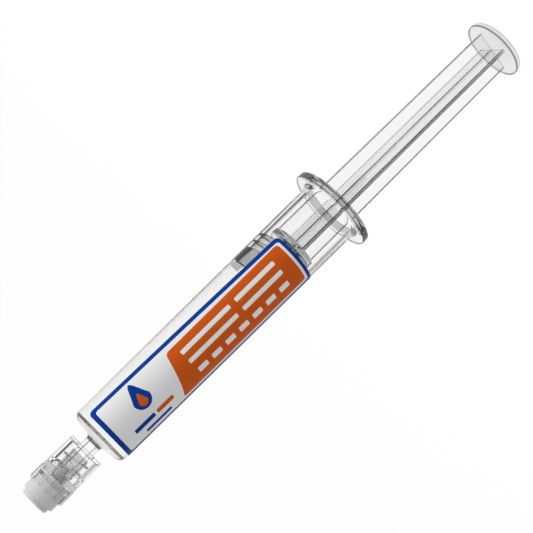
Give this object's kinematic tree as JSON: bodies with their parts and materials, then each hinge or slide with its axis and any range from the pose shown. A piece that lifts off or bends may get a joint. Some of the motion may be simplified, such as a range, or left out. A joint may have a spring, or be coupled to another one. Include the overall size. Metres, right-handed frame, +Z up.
{
  "type": "flux syringe",
  "caption": "Clear luer-lock syringe filled with solder flux gel, with a cross-ribbed plunger, rubber stopper, wrapped label and a twist-off cap that screws into the nozzle collar.",
  "frame": {"origin": "centre of the thumb disc's outer face, which the syringe stands on", "axes": "+Z up the syringe's axis from the thumb disc to the nozzle and cap; -Y through the middle of the label; +X completes the right-handed frame"},
  "size_m": [0.0252, 0.0252, 0.1759],
  "materials": {
    "clear_rod": "clear polypropylene, smooth",
    "grey_rubber": "grey rubber, slightly oiled",
    "clear_barrel": "clear polypropylene, glossy",
    "flux_gel": "milky clear gel",
    "clear_collar": "clear plastic, glossy",
    "clear_cap": "clear plastic, faintly frosted",
    "white_plug": "translucent white plastic, satin",
    "silver_film": "satin printed film"
  },
  "bodies": {
    "plunger": {"plunger_rod": "clear_rod", "plunger_stopper": "grey_rubber"},
    "barrel": {"barrel": "clear_barrel", "luer_lock_collar": "clear_collar", "label": "silver_film", "flux": "flux_gel"},
    "cap_plug": {"cap_plug": "white_plug"},
    "cap_shell": {"cap_shell": "clear_cap"}
  },
  "joints": [
    {"name": "plunger_slide", "type": "slide", "parent": "plunger", "child": "barrel", "axis": [0, 0, -1], "range_m": [-0.012, 0.055], "deforming": ["flux"]},
    {"name": "cap_lift", "type": "slide", "parent": "barrel", "child": "cap_plug", "axis": [0, 0, 1], "range_m": [0, 0.0075]},
    {"name": "cap_turn", "type": "hinge", "parent": "cap_plug", "child": "cap_shell", "pos_m": [0, 0, 0.1668], "axis": [0, 0, 1], "range_deg": [0, 1080]}
  ],
  "couplings": [
    {"joint": "cap_turn", "follows": "cap_lift", "rad_per_m": 2513.3}
  ]
}
